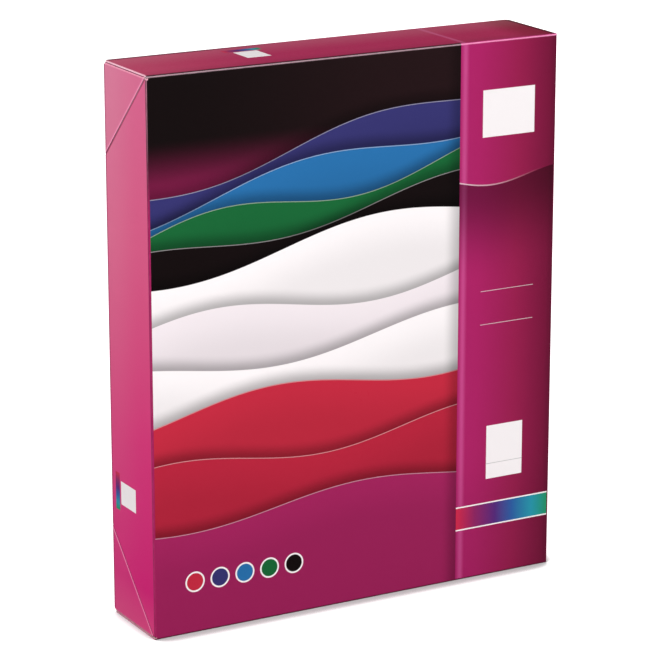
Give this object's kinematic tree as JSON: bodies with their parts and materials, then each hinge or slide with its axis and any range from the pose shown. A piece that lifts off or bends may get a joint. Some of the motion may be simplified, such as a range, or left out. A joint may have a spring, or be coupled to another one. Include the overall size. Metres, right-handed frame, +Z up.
{
  "type": "carton of two-pocket folders",
  "caption": "Upright hinged-lid paperboard carton, glossy printed, packed with letter-size two-pocket paper folders in assorted colours; its lid opens like a book.",
  "frame": {"origin": "on the ground under the middle of the standing carton", "axes": "+Z up along the carton's height, +Y from the printed front to the back, +X to the hinge side"},
  "size_m": [0.2476, 0.0508, 0.3048],
  "materials": {
    "printed_board": "printed and gloss coated outside, bare grey-white board inside",
    "plain_board": "uncoated grey-white board",
    "paper_red": "matt cover stock with a fine embossed grain",
    "paper_dark_blue": "matt cover stock with a fine embossed grain",
    "paper_light_blue": "matt cover stock with a fine embossed grain",
    "paper_green": "matt cover stock with a fine embossed grain",
    "paper_black": "matt cover stock with a fine embossed grain"
  },
  "bodies": {
    "tray": {"tray_back_panel": "printed_board", "tray_spine_wall": "printed_board", "tray_left_wall": "printed_board", "tray_top_wall": "printed_board", "tray_bottom_wall": "printed_board", "tray_left_top_flap": "plain_board", "tray_left_bottom_flap": "plain_board", "tray_spine_top_flap": "plain_board", "tray_spine_bottom_flap": "plain_board", "folder_red_1": "paper_red", "folder_red_2": "paper_red", "folder_red_3": "paper_red", "folder_red_4": "paper_red", "folder_red_5": "paper_red", "folder_dark_blue_1": "paper_dark_blue", "folder_dark_blue_2": "paper_dark_blue", "folder_dark_blue_3": "paper_dark_blue", "folder_dark_blue_4": "paper_dark_blue", "folder_dark_blue_5": "paper_dark_blue", "folder_light_blue_1": "paper_light_blue", "folder_light_blue_2": "paper_light_blue", "folder_light_blue_3": "paper_light_blue", "folder_light_blue_4": "paper_light_blue", "folder_light_blue_5": "paper_light_blue", "folder_green_1": "paper_green", "folder_green_2": "paper_green", "folder_green_3": "paper_green", "folder_green_4": "paper_green", "folder_green_5": "paper_green", "folder_black_1": "paper_black", "folder_black_2": "paper_black", "folder_black_3": "paper_black", "folder_black_4": "paper_black", "folder_black_5": "paper_black"},
    "lid": {"lid_front_panel": "printed_board", "lid_left_wall": "printed_board", "lid_top_wall": "printed_board", "lid_bottom_wall": "printed_board", "lid_top_glue_flap": "plain_board", "lid_bottom_glue_flap": "plain_board"}
  },
  "joints": [
    {"name": "lid_hinge", "type": "hinge", "parent": "tray", "child": "lid", "pos_m": [0.12352, -0.0251, 0.1524], "axis": [0, 0, 1], "range_deg": [0, 180]}
  ]
}
